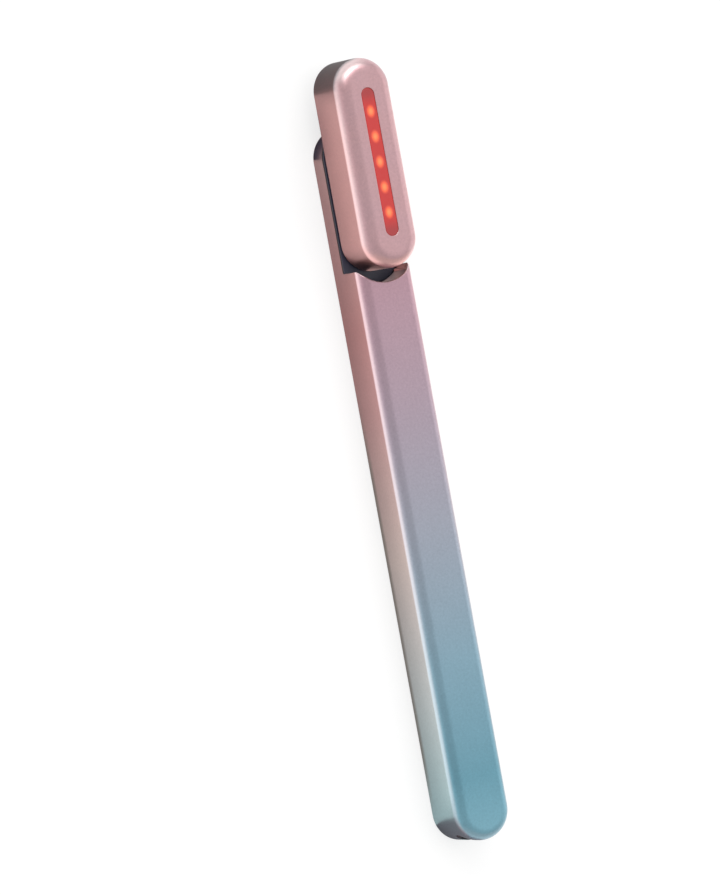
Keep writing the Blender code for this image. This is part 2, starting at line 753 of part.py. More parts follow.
def make_head_base(head):
    half_length = head_inner_half_length - fit_gap
    outline = stadium(-half_length, half_length, head_inner_half_width - fit_gap)
    base = make("head_base", prism(outline, head_bottom, base_top), "black_plastic", head)
    below = head_bottom - overrun
    above = base_top + overrun
    cut(base, prism(circle(hub_radius + fit_gap, 2 * small_steps), below, above))
    cut(base, prism(circle(stop_pin_radius + fit_gap), below, above), location=(stop_groove_radius, 0, 0))
    for place_on in hub_screw_places():
        cut(base, prism(circle(hub_screw[2] + fit_gap), head_bottom + fit_gap, above), location=place_on)
    for number, side in ((1, -1), (2, 1)):
        place_on = (side * head_screw_x, 0, 0)
        cut(base, prism(circle(head_screw[2] + fit_gap), below, above), location=place_on)
        sink_top = head_bottom + head_screw[1] + 2 * fit_gap
        cut(base, prism(circle(head_screw[0] + fit_gap), below, sink_top), location=place_on)
        screw(f"head_screw_{number}", head_screw, head, (side * head_screw_x, 0, head_bottom + fit_gap))


def make_window(head):
    half_length = slot_length / 2
    body_half = half_length - fit_gap
    body = stadium(-body_half, body_half, slot_width / 2 - fit_gap, small_steps)
    flange_half = half_length + window_flange
    flange_across = slot_width / 2 + window_flange
    flange = stadium(-flange_half, flange_half, flange_across, small_steps)
    plate = prism(flange, window_flange_bottom, window_flange_top)
    window = make("lens_window", plate, "red_window", head)
    inside_flange = (window_flange_bottom + window_flange_top) / 2
    join(window, prism(body, inside_flange, window_top, window_recess, steps=1))
    z0 = window_flange_top + fit_gap
    gasket = make("lens_gasket", prism(flange, z0, z0 + gasket_depth), "silicone", head)
    opening = stadium(-half_length, half_length, slot_width / 2, small_steps)
    cut(gasket, prism(opening, z0 - overrun, z0 + overrun))


def make_lights(head):
    half_length = head_inner_half_length - led_board_inset
    across = head_inner_half_width - led_board_inset
    outline = stadium(-half_length, half_length, across, small_steps)
    make("led_board", prism(outline, led_board_bottom, led_board_top), "board_green", head)
    for number in range(led_count):
        place_on = ((number - (led_count - 1) / 2) * led_pitch, 0, led_board_top + fit_gap)
        resin = box(led_length, led_width, led_height, chip_edge_round)
        make(f"led_{number + 1}", resin, "led_resin", head, place_on)


def make_carrier(head):
    half_length = head_inner_half_length - fit_gap
    across = head_inner_half_width - fit_gap
    outline = stadium(-half_length, half_length, across)
    carrier = make("led_carrier", prism(outline, carrier_bottom, carrier_top), "grey_plastic", head)
    hollow = stadium(-half_length + carrier_wall, half_length - carrier_wall, across - carrier_wall)
    plate_bottom = carrier_top - carrier_wall
    cut(carrier, prism(hollow, carrier_bottom - overrun, plate_bottom))
    hole = prism(circle(hub_bore_radius), plate_bottom - overrun, carrier_top + overrun)
    cut(carrier, hole, location=(-wire_bend, 0, 0))
    relief_top = hub_flange_top + hub_screw[1] + 2 * fit_gap
    relief = circle(hub_flange_radius + boss_gap, 2 * small_steps)
    cut(carrier, prism(relief, carrier_bottom - overrun, relief_top))
    for side in (1, -1):
        place_on = (side * head_screw_x, 0, 0)
        boss = prism(circle(boss_radius), carrier_bottom, carrier_top - carrier_wall / 2)
        join(carrier, boss, location=place_on)
        pilot_top = base_top + head_screw[3] + overrun
        pilot = prism(circle(head_screw[2] + fit_gap), carrier_bottom - overrun, pilot_top)
        cut(carrier, pilot, location=place_on)


def make_motor(head, spindle):
    nose = motor_nose_radius
    bore = motor_shaft_radius + fit_gap
    bore_end = motor_shaft_reach + fit_gap
    edge = motor_edge_round
    front = motor_nose_length
    back = front + motor_length
    profile = [(0, bore_end), (bore, bore_end), (bore, 0), (nose, 0), (nose, front)]
    profile += [(motor_radius - edge, front), (motor_radius, front + edge)]
    profile += [(motor_radius, back - edge), (motor_radius - edge, back), (0, back)]
    nose_x = motor_x - motor_nose_length
    place_on = (nose_x, 0, motor_z)
    make("vibration_motor", turned(profile, 2 * small_steps), "steel", head, place_on, (0, pi / 2, 0))

    boot_length = motor_length * boot_length_share
    side = 2 * (motor_radius + fit_gap + boot_wall)
    boot_x = motor_x + motor_length / 2
    boot = box(boot_length, side, side, boot_wall / 2)
    place_on = (boot_x, 0, motor_z - side / 2)
    boot = make("motor_boot", boot, "silicone", head, place_on)
    tunnel = prism(circle(motor_radius + fit_gap, 2 * small_steps), -motor_length, motor_length)
    cut(boot, tunnel, location=(boot_x, 0, motor_z), rotation=(0, pi / 2, 0))

    heavy = arc((0, 0), weight_radius, -pi / 2, pi / 2, small_steps)
    light = arc((0, 0), weight_hub_radius, pi / 2, 3 * pi / 2, small_steps // 2)
    weight = make("motor_weight", prism(heavy + light, 0, weight_length), "tungsten", spindle)
    shaft_end = weight_length + boss_gap + motor_shaft_reach
    join(weight, prism(circle(motor_shaft_radius, small_steps // 2), weight_length / 2, shaft_end))


def build():
    clear_scene()
    wand = frame_point("wand_frame", (-wand_length / 2, 0, 0))
    head = frame_point("head_pivot", (pivot_x, 0, 0), wand)
    key = frame_point("button_axis", (button_x, 0, 0), wand)
    spindle = frame_point("motor_axis", (weight_x, 0, motor_z), head, (0, pi / 2, 0))
    make_handle_shell(wand)
    make_neck_cap(wand)
    make_neck_screws(wand)
    make_chassis(wand)
    make_board(wand)
    make_cell(wand)
    make_inlet(wand)
    make_button(wand, key)
    make_swivel(wand, head)
    make_head_shell(head)
    make_head_base(head)
    make_window(head)
    make_lights(head)
    make_carrier(head)
    make_motor(head, spindle)
    make_handle_leads(wand)
    make_battery_leads(wand)
    make_head_leads(head)


build()
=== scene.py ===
import json
import math

import bpy
import bmesh
from mathutils import Matrix, Vector


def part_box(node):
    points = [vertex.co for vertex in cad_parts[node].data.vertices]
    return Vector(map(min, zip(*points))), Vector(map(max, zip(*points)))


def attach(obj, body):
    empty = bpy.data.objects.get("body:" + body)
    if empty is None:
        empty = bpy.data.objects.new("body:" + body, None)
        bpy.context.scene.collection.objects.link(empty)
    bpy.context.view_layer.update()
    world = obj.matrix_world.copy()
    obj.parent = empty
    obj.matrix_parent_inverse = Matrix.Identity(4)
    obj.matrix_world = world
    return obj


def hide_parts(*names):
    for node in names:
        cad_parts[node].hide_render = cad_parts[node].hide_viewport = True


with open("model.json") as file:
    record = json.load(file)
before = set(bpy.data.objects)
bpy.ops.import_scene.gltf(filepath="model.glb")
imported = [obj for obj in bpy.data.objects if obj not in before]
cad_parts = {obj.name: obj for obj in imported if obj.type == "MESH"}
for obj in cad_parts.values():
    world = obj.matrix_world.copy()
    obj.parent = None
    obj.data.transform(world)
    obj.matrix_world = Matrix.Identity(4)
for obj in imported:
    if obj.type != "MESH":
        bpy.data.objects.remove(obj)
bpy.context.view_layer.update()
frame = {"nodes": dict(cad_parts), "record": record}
nodes = frame["nodes"]
up = Vector((0, 0, 1))
nearly = 1e-6       # two points closer than this are one
sharpFrom = 0.7     # angle between two faces that makes their edge a sharp one, in radians
creaseAngle = math.radians(35)   # edges sharper than this aren't smoothed over
flatAngle = math.radians(1)      # faces of a CAD piece that meet at less than this become one
print("frame loaded:", len(nodes), "nodes")


# shader helpers
def paint(red, green, blue):
    # a colour as a screen shows it, 0 to 255, turned into the linear one that shaders take
    def linear(value):
        share = value / 255
        return share / 12.92 if share <= 0.04045 else ((share + 0.055) / 1.055) ** 2.4
    return (linear(red), linear(green), linear(blue), 1)


class Signal:
    # one output of a shader node, with arithmetic that adds Math nodes
    def __init__(self, finish, socket):
        self.finish = finish
        self.socket = socket

    def maths(self, operation, *values):
        return self.finish.node("Math", {"operation": operation}, *values)

    def __add__(self, other):
        return self.maths("ADD", self, other)

    def __sub__(self, other):
        return self.maths("SUBTRACT", self, other)

    def __rsub__(self, other):
        return self.maths("SUBTRACT", other, self)

    def __mul__(self, other):
        return self.maths("MULTIPLY", self, other)

    def __truediv__(self, other):
        return self.maths("DIVIDE", self, other)

    def __pow__(self, other):
        return self.maths("POWER", self, other)

    __radd__ = __add__
    __rmul__ = __mul__

    def size(self):
        return self.maths("ABSOLUTE", self)

    def most(self, other):
        return self.maths("MAXIMUM", self, other)

    def step(self, low, high):
        # 0 below low, 1 above high, smooth between them
        kind = {"interpolation_type": "SMOOTHSTEP"}
        return self.finish.node("MapRange", kind, self, low, high, 0.0, 1.0)

    def fall(self, low, high):
        # 1 below low, 0 above high
        return 1 - self.step(low, high)


class Finish:
    # a material of one Principled shader, and the nodes that feed it
    def __init__(self, name, **fixed):
        self.material = bpy.data.materials.new(name)
        self.material.use_nodes = True
        self.tree = self.material.node_tree
        self.shader = self.tree.nodes["Principled BSDF"]
        for socket, value in fixed.items():
            self.shader.inputs[socket.replace("_", " ")].default_value = value

    def link(self, value, socket):
        if isinstance(value, Signal):
            self.tree.links.new(value.socket, socket)
        else:
            socket.default_value = value

    def node(self, kind, settings=None, *values, take=0, **named):
        made = self.tree.nodes.new("ShaderNode" + kind)
        for key, value in (settings or {}).items():
            setattr(made, key, value)
        for socket, value in zip(made.inputs, values):
            if value is not None:
                self.link(value, socket)
        for key, value in named.items():
            self.link(value, next(s for s in made.inputs if key in (s.identifier, s.name)))
        if isinstance(take, str):
            return Signal(self, next(s for s in made.outputs if take in (s.identifier, s.name)))
        return Signal(self, made.outputs[take])

    def place(self):
        return self.node("TexCoord", take="Object")

    def axes(self, vector):
        parts = self.tree.nodes.new("ShaderNodeSeparateXYZ")
        self.link(vector, parts.inputs[0])
        return [Signal(self, socket) for socket in parts.outputs]

    def noise(self, size, detail=2.0, rough=0.5):
        # size is the width of one blotch, in metres
        return self.node("TexNoise", None, self.place(), take="Fac", Scale=1 / size,
                         Detail=detail, Roughness=rough)

    def ramp(self, factor, stops):
        made = self.tree.nodes.new("ShaderNodeValToRGB")
        band = made.color_ramp.elements
        while len(band) < len(stops):
            band.new(0.5)   # its own place follows below
        for element, (spot, colour) in zip(band, stops):
            element.position = spot
            element.color = colour
        self.link(factor, made.inputs[0])
        return Signal(self, made.outputs[0])

    def mix(self, factor, first, second, blend="MIX"):
        settings = {"data_type": "RGBA", "blend_type": blend, "clamp_factor": True}
        return self.node("Mix", settings, take="Result_Color", Factor_Float=factor,
                         A_Color=first, B_Color=second)

    def bump(self, height, distance):
        self.set("Normal", self.node("Bump", None, Height=height, Distance=distance, Strength=1.0))

    def set(self, socket, value):
        self.link(value, self.shader.inputs[socket])

    def output(self, first, second, share):
        # a blend of two shaders, share of the second
        last = next(n for n in self.tree.nodes if n.bl_idname == "ShaderNodeOutputMaterial")
        self.link(self.node("MixShader", None, share, first, second), last.inputs["Surface"])

    def surface(self):
        return Signal(self, self.shader.outputs[0])


# mesh helpers
def wireAlong(bm, points):
    verts = [bm.verts.new(point) for point in points]
    for pair in zip(verts, verts[1:]):
        bm.edges.new(pair)
    return verts


def roundCorner(bm, vert, radius, segments):
    bmesh.ops.bevel(bm, geom=[vert], offset=radius, segments=segments, profile=0.5,
                    affect="VERTICES", material=-1)


def turn(bm, edges, middle, angle, steps):
    verts = {v for e in edges for v in e.verts}
    made = bmesh.ops.spin(bm, geom=list(verts) + list(edges), cent=middle, axis=up, dvec=(0, 0, 0),
                          angle=angle, steps=steps, use_duplicate=False)
    return made["geom_last"]


def sweepPoint(bm, point, middle, angle, steps):
    # a row of edges along an arc, from a single point
    start = bm.verts.new(point)
    made = bmesh.ops.spin(bm, geom=[start], cent=middle, axis=up, dvec=(0, 0, 0),
                          angle=angle, steps=steps, use_duplicate=False)
    return start, made["geom_last"]


def onlyVerts(geom):
    return [g for g in geom if isinstance(g, bmesh.types.BMVert)]


def rimOf(bm, test=lambda edge: True):
    return [e for e in bm.edges if e.is_boundary and test(e)]


def allAt(edge, level):
    return all(abs(v.co.z - level) < nearly for v in edge.verts)


def isSharp(edge):
    return edge.is_manifold and edge.calc_face_angle() > sharpFrom


def pull(bm, edges, vector):
    made = bmesh.ops.extrude_edge_only(bm, edges=edges)["geom"]
    verts = onlyVerts(made)
    bmesh.ops.translate(bm, verts=verts, vec=vector)
    return verts, [g for g in made if isinstance(g, bmesh.types.BMEdge)]


def weld(bm):
    bmesh.ops.remove_doubles(bm, verts=bm.verts[:], dist=nearly)


def outwards(bm):
    bmesh.ops.recalc_face_normals(bm, faces=bm.faces[:])


def soften(bm, edges, radius, segments=3):
    bmesh.ops.bevel(bm, geom=edges, offset=radius, segments=segments, profile=0.5,
                    affect="EDGES", material=-1, clamp_overlap=True)


def baked(piece):
    # the mesh with its modifiers applied
    graph = bpy.context.evaluated_depsgraph_get()
    mesh = bpy.data.meshes.new_from_object(piece.evaluated_get(graph))
    old = piece.data
    piece.modifiers.clear()
    piece.data = mesh
    bpy.data.meshes.remove(old)
    return piece


def pieceFrom(name, bm):
    mesh = bpy.data.meshes.new(name)
    bm.to_mesh(mesh)
    bm.free()
    piece = bpy.data.objects.new(name, mesh)
    bpy.context.scene.collection.objects.link(piece)
    return piece


def shellOf(piece, wall):
    # a wall of even thickness, grown inwards
    skin = piece.modifiers.new("wall", "SOLIDIFY")
    skin.thickness = wall
    skin.offset = -1
    skin.use_even_offset = True
    return baked(piece)


def carve(piece, cutter, union=False):
    cut = piece.modifiers.new("cut", "BOOLEAN")
    cut.operation = "UNION" if union else "DIFFERENCE"
    cut.solver = "EXACT"
    cut.object = cutter
    baked(piece)
    bpy.data.objects.remove(cutter)


def reshape(piece, work):
    bm = bmesh.new()
    bm.from_mesh(piece.data)
    work(bm)
    bm.to_mesh(piece.data)
    bm.free()


def finished(piece, body, finish, stoodFor):
    piece.data.materials.clear()
    piece.data.materials.append(finish)
    piece.data.shade_smooth()
    piece.data.set_sharp_from_angle(angle=creaseAngle)
    steady = piece.modifiers.new("steady", "WEIGHTED_NORMAL")
    steady.keep_sharp = True
    baked(piece)
    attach(piece, body)
    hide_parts(stoodFor)


def refined(name, newName, body, edge):
    # a CAD piece merged into whole faces, with its sharp edges rounded
    bm = bmesh.new()
    bm.from_mesh(nodes[name].data)
    weld(bm)
    bmesh.ops.dissolve_limit(bm, angle_limit=flatAngle, verts=bm.verts[:], edges=bm.edges[:])
    outwards(bm)
    soften(bm, [e for e in bm.edges if isSharp(e)], edge, segments=2)
    finished(pieceFrom(newName, bm), body, looks[slots[name]], name)


def ringSector(name, middle, inner, outer, low, high, spread, steps=64):
    # part of a flat ring, spread to both sides of +X
    bm = bmesh.new()
    corners = ((inner, low), (outer, low), (outer, high), (inner, high))
    bm.faces.new([bm.verts.new((middle + radius * math.cos(spread), -radius * math.sin(spread), level))
                  for radius, level in corners])
    bmesh.ops.spin(bm, geom=bm.verts[:] + bm.edges[:] + bm.faces[:], cent=(middle, 0, 0), axis=up,
                   dvec=(0, 0, 0), angle=2 * spread, steps=steps, use_duplicate=False)
    outwards(bm)
    return pieceFrom(name, bm)


def stadiumFace(bm, ends, radius, level, steps):
    # a flat face with two half-round ends, round the points of ends
    corners = []
    for middle, side in zip(ends, (-1, 1)):
        start, last = sweepPoint(bm, (middle, -side * radius, level), (middle, 0, level), math.pi, steps)
        corners += [start] + onlyVerts(last)
    first, second, third, fourth = corners
    bm.edges.new((second, third))
    bm.edges.new((fourth, first))
    rim = [e for e in bm.edges if e.is_wire]
    return bmesh.ops.contextual_create(bm, geom=rim)["faces"][0]


def lift(bm, face, height):
    made = bmesh.ops.extrude_face_region(bm, geom=[face])["geom"]
    bmesh.ops.translate(bm, verts=onlyVerts(made), vec=(0, 0, height))
    if all(len(e.link_faces) > 2 for e in face.edges):
        bmesh.ops.delete(bm, geom=[face], context="FACES_ONLY")   # it would stay inside the body
    return next(g for g in made if isinstance(g, bmesh.types.BMFace))


def stadiumBlock(name, ends, radius, low, high, steps):
    bm = bmesh.new()
    lift(bm, stadiumFace(bm, ends, radius, low, steps), high - low)
    outwards(bm)
    return pieceFrom(name, bm)


def rod(name, place, radius, low, high, steps=64):
    bm = bmesh.new()
    made = bmesh.ops.create_cone(bm, cap_ends=True, segments=steps, radius1=radius, radius2=radius,
                                 depth=high - low)
    bmesh.ops.translate(bm, verts=made["verts"], vec=(place[0], place[1], (low + high) / 2))
    return pieceFrom(name, bm)


# finishes
anodising = {
    "rough": 0.4,
    "roughSpread": 0.1,
    "oxide": 0.35,           # weight of the clear layer
    "oxideRough": 0.3,
    "oxideBend": 1.6,
    "grain": 0.00035,        # width of the blasted pits
    "grainDepth": 0.000006,
    "flake": 0.0006,         # width of the lighter and darker spots between them
    "patch": 0.004,          # width of the softest unevenness
    "tone": (0.73, 0.22, 0.26, 0.06),   # even share of the dye, and those of pits, spots and patches
    "sideTurn": (0.0, 0.25),   # upward part of the normal over which a side becomes a front, and its painted shade gives way to the front's colour
}
paintedHighlight = {   # painted highlight along the metal's edges and ends, where they catch light and reflection, as spans of the normal's part along an axis
    "outward": (0.4, 0.8),   # edges that face the wand's left and right
    "rightShare": 0.4,       # how much of the left edge's painted highlight the right edge has
    "overSide": (0.0, 0.2),  # upward part, where an edge begins and ends
    "underFront": (0.35, 0.65),
    "downward": (0.2, 0.6),  # ends that face the wand's bottom
    "upward": (0.12, 0.5),   # and its top
    "topSpread": 0.6,
    "overEnd": (0.05, 0.25),
    "underEndFront": (0.82, 0.96),
    "paleTop": (-0.5, 0.1),  # the painted highlight is pale towards the top and the right, and warm elsewhere
    "paleRight": (0.2, 0.6),
    "pale": paint(250, 240, 238),
    "warm": paint(235, 178, 160),
    "highlightMix": 0.6,             # how much of the painted highlight's colour is mixed in at most
    "edge": 0.42,            # how strong the painted highlight is along the front edges
}
frontFade = [                 # along the handle's front, from the bottom end
    (0.00, paint(126, 174, 190)),
    (0.09, paint(107, 157, 174)),
    (0.25, paint(133, 166, 182)),
    (0.45, paint(161, 164, 177)),
    (0.62, paint(174, 154, 167)),
    (0.80, paint(184, 146, 158)),
    (1.00, paint(188, 148, 152)),
]
shadedSideFade = [                  # the same along the side walls, painted darker and redder than the front: painted shade and warm reflection
    (0.00, paint(133, 168, 173)),
    (0.20, paint(161, 168, 169)),
    (0.40, paint(171, 155, 150)),
    (0.60, paint(159, 117, 116)),
    (0.72, paint(153, 101, 100)),
    (1.00, paint(155, 118, 116)),
]
backEdgeShade = {                  # painted shade along the rounded back edge, low on the handle's sides
    "height": (0.0010, 0.0024),
    "start": (0.03, 0.14),    # shares of the handle's length
    "end": (0.5, 0.66),
    "share": 0.8,
    "colour": paint(104, 96, 88),
}
rose = {
    "patch": 0.012,
    "front": paint(198, 156, 158),
    "frontCool": paint(193, 158, 165),
    # the side walls' darker, redder colour is painted shade and warm reflection
    "side": paint(155, 108, 106),
}


def blastedMetal(name, colour, bottomHighlight, topHighlight, topHighlightFrom):
    # The third and fourth arguments weigh the painted highlight on the ends that face the wand's bottom
    # and its top. The latter is on normals whose part to the left is beyond the fifth
    finish = Finish(name, Metallic=1.0, Coat_Weight=anodising["oxide"],
                    Coat_Roughness=anodising["oxideRough"], Coat_IOR=anodising["oxideBend"])
    pits = finish.noise(anodising["grain"], detail=3.0, rough=0.6)
    patches = finish.noise(anodising["patch"])
    flakes = finish.noise(anodising["flake"], rough=0.6)
    even, pitShare, flakeShare, patchShare = anodising["tone"]
    tone = even + pits * pitShare + patches * patchShare + flakes * flakeShare
    facing = finish.axes(finish.node("NewGeometry", take="Normal"))
    along, left, top = facing
    right, down = 0 - left, 0 - along
    # painted highlight: the front edges and the ends are lightened where they catch light and reflection
    outer = left.step(*paintedHighlight["outward"]).most(right.step(*paintedHighlight["outward"]) * paintedHighlight["rightShare"])
    sideHighlight = top.step(*paintedHighlight["overSide"]) * top.fall(*paintedHighlight["underFront"]) * outer
    low = down.step(*paintedHighlight["downward"]) * bottomHighlight
    high = along.step(*paintedHighlight["upward"]) * left.step(topHighlightFrom, topHighlightFrom + paintedHighlight["topSpread"]) * topHighlight
    endHighlight = top.step(*paintedHighlight["overEnd"]) * top.fall(*paintedHighlight["underEndFront"]) * low.most(high)
    dyedAndShaded = finish.mix(1.0, colour(finish, facing), finish.node("CombineColor", None, tone, tone, tone),
                      "MULTIPLY")
    isPale = along.step(*paintedHighlight["paleTop"]).most(right.step(*paintedHighlight["paleRight"]))
    highlightMix = finish.mix(paintedHighlight["highlightMix"], dyedAndShaded, finish.mix(isPale, paintedHighlight["warm"], paintedHighlight["pale"]))
    finish.set("Base Color", finish.mix(sideHighlight.most(endHighlight) * paintedHighlight["edge"], dyedAndShaded, highlightMix))
    finish.set("Roughness", anodising["rough"] + (pits - 0.5) * anodising["roughSpread"])
    finish.bump(pits, anodising["grainDepth"])
    return finish.material


def handleColour(finish, facing):
    low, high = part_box("handle_shell")
    x, y, z = finish.axes(finish.place())
    along = (x - low.x) / (high.x - low.x)
    # the side walls get a painted shade and warm reflection; the front keeps the dye's own fade
    onSide = facing[2].fall(*anodising["sideTurn"])
    fade = finish.mix(onSide, finish.ramp(along, frontFade), finish.ramp(along, shadedSideFade))
    # painted shade along the back edge
    backShade = z.fall(*backEdgeShade["height"]) * along.step(*backEdgeShade["start"]) * along.fall(*backEdgeShade["end"])
    return finish.mix(backShade * backEdgeShade["share"], fade, backEdgeShade["colour"])


def headColour(finish, facing):
    front = finish.mix(finish.noise(rose["patch"]), rose["front"], rose["frontCool"])
    # side walls painted darker and redder: painted shade and warm reflection
    return finish.mix(facing[2].fall(*anodising["sideTurn"]), front, rose["side"])


def grained(name, colour, second, roughness, spread, grain, depth, metallic=0.0, rough=0.5):
    # specks of a second colour, as wide as grain, and pits of that depth
    finish = Finish(name, Metallic=metallic)
    speck = finish.noise(grain, detail=3.0, rough=rough)
    finish.set("Base Color", finish.mix(speck, colour, second))
    finish.set("Roughness", roughness + (speck - 0.5) * spread)
    finish.bump(speck, depth)
    return finish.material


def plastic(name, colour, second, roughness, grain=0.0004, depth=0.00001):
    return grained(name, colour, second, roughness, 0.12, grain, depth)


def steel(name, colour, roughness):
    return grained(name, colour, paint(235, 235, 238), roughness, spread=0.15, grain=0.0002,
                   depth=0.000004, metallic=1.0, rough=0.6)


# the lights' glow through the window is painted into its colour and emission; no light passes through it
redWindow = {
    "rough": 0.22,
    "coat": 0.6,
    "coatRough": 0.08,
    "spot": 0.0014,              # reach of one light's painted glow
    "stretch": 1.9,              # of the glow along the window
    "dimEnds": (0.0135, 0.0168),   # distances from the middle over which the painted glow fades
    "dye": paint(96, 12, 16),
    "paintedLightOnDye": paint(190, 80, 45),
    "glow": [(0.0, paint(197, 25, 10)), (0.45, paint(240, 88, 42)), (1.0, paint(255, 140, 76))],
    "endGlow": paint(150, 32, 32),
    "strength": 0.75,
}


def lensFinish():
    finish = Finish("red_window", Roughness=redWindow["rough"], Coat_Weight=redWindow["coat"],
                    Coat_Roughness=redWindow["coatRough"])
    x, y, z = finish.axes(finish.place())
    low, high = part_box("lens_window")
    lights = [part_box(f"led_{number}") for number in range(1, 6)]
    glow = None
    for lightLow, lightHigh in lights:
        middle = (lightLow + lightHigh) / 2
        along, across = x - middle.x, y - middle.y
        far = (along * along / redWindow["stretch"] + across * across) ** 0.5
        spot = far.fall(0.0, redWindow["spot"])
        glow = spot if glow is None else glow.most(spot)
    dim = (x - (low.x + high.x) / 2).size().step(*redWindow["dimEnds"])
    # painted glow: lighter dye and emission round each light, dimmer towards the ends
    finish.set("Base Color", finish.mix(glow, redWindow["dye"], redWindow["paintedLightOnDye"]))
    light = finish.ramp(glow, redWindow["glow"])
    finish.set("Emission Color", finish.mix(dim, light, redWindow["endGlow"]))
    finish.set("Emission Strength", redWindow["strength"])
    return finish.material


neckBlack = {
    "coat": 0.1,
    "coatRough": 0.3,
    "rough": 0.34,
    "roughSpread": 0.1,
    "rimRough": 0.5,             # added on the deck's rim
    "black": paint(49, 50, 66),
    "second": paint(57, 58, 74),
    # the deck's rim, in the gap under the head, is painted darker and redder: painted shade
    "rim": paint(30, 16, 20),
    "upright": (0.3, 0.5),       # upward part of the normal that ends a wall
    "rimTop": (0.0056, 0.0058),
    "wallFoot": (0.0058, 0.0060),
    "wall": paint(112, 98, 102),   # painted reflection: the step's wall is painted bright on its right part
    "wallTop": 0.0138,
    "wallLean": 0.55,            # how the border of the painted bright part leans with height, like a shadow's edge
    "wallFrom": (0.0008, 0.0022),
}


def neckFinish():
    # black plastic, with a painted reflection on the step's wall above the deck, bright on its right
    # part, and a painted shade on the deck's rim
    finish = Finish("neck_black_and_step", Coat_Weight=neckBlack["coat"],
                    Coat_Roughness=neckBlack["coatRough"])
    facing = finish.axes(finish.node("NewGeometry", take="Normal"))
    x, y, z = finish.axes(finish.place())
    upright = facing[2].size().fall(*neckBlack["upright"])
    fromBorder = 0 - ((neckBlack["wallTop"] - z) * neckBlack["wallLean"] + y)
    # painted reflection on the right part of the step's wall
    bright = upright * z.step(*neckBlack["wallFoot"]) * fromBorder.step(*neckBlack["wallFrom"])
    # painted shade on the deck's rim, in the gap under the head
    rim = upright * z.fall(*neckBlack["rimTop"])
    speck = finish.noise(anodising["grain"], detail=3.0)
    black = finish.mix(speck, neckBlack["black"], neckBlack["second"])
    black = finish.mix(rim, black, neckBlack["rim"])
    finish.set("Base Color", finish.mix(bright, black, neckBlack["wall"]))
    finish.set("Metallic", bright)
    rough = neckBlack["rough"] + speck * neckBlack["roughSpread"]
    finish.set("Roughness", rough + rim * neckBlack["rimRough"])
    finish.bump(speck, anodising["grainDepth"])
    return finish.material


looks = {
    "black_moulding": plastic("satin_black", paint(38, 38, 43), paint(46, 46, 52), 0.42),
    "tray_plastic": plastic("tray_grey", paint(120, 122, 126), paint(132, 134, 138), 0.55),
    "board": plastic("green_mask", paint(22, 92, 58), paint(30, 108, 68), 0.35),
    "chip": plastic("chip_resin", paint(34, 34, 36), paint(44, 44, 46), 0.6),
    "cell": plastic("cell_sleeve", paint(44, 92, 140), paint(52, 102, 152), 0.3),
    "foam": plastic("grey_foam", paint(150, 150, 150), paint(110, 110, 112), 0.95, 0.0006, 0.00008),
    "silicone": plastic("soft_silicone", paint(84, 84, 88), paint(96, 96, 100), 0.6),
    "red_wire": plastic("red_sheath", paint(170, 30, 28), paint(186, 40, 34), 0.45),
    "black_wire": plastic("black_sheath", paint(30, 30, 32), paint(40, 40, 42), 0.45),
    "steel": steel("turned_steel", paint(205, 205, 208), 0.28),
    "tungsten": steel("sintered_tungsten", paint(140, 140, 144), 0.45),
    "brass": steel("turned_brass", paint(205, 170, 105), 0.3),
    "led_resin": plastic("lit_resin", paint(255, 170, 110), paint(255, 190, 130), 0.3),
    "window": lensFinish(),
    "handle_metal": blastedMetal("faded_handle", handleColour, bottomHighlight=0.35, topHighlight=1.8, topHighlightFrom=-2),
    "head_metal": blastedMetal("rose_head", headColour, bottomHighlight=1.3, topHighlight=1.8, topHighlightFrom=-0.35),
}
slots = {row["node"]: row["material_slot"] for row in frame["record"]["subparts"]}
for name, node in nodes.items():
    node.data.materials.clear()
    node.data.materials.append(looks[slots[name]])
print("finishes made:", len(looks))


# handle
handle = {
    "frontRound": 0.00295,
    "frontRoundSteps": 14,
    "backRound": 0.0004,
    "backRoundSteps": 4,
    "wall": 0.001,
    "stepRadius": 0.0092,
    "stepMiddle": 0.0504,    # centre of the step's arc, on the wand's line
    "tongueTop": 0.0049,
    "lip": 0.0003,           # rounding of the cut edge
    "port": (0.01018, 0.0045, 0.0069),   # width, height, level
    "portSteps": 32,
    "buttonHole": 0.0034,
    "holeEdge": 0.00012,     # rounding of the port's and the button's mouths
    "holeEdgeFrom": 0.5,     # angle of the edges that get it, in radians
    "turnSteps": 48,
    "frontSteps": 12,        # cuts across the flat front, so that the step's edge can follow its arc
}


def arcAt(across):
    return handle["stepMiddle"] - math.sqrt(handle["stepRadius"] ** 2 - across ** 2)


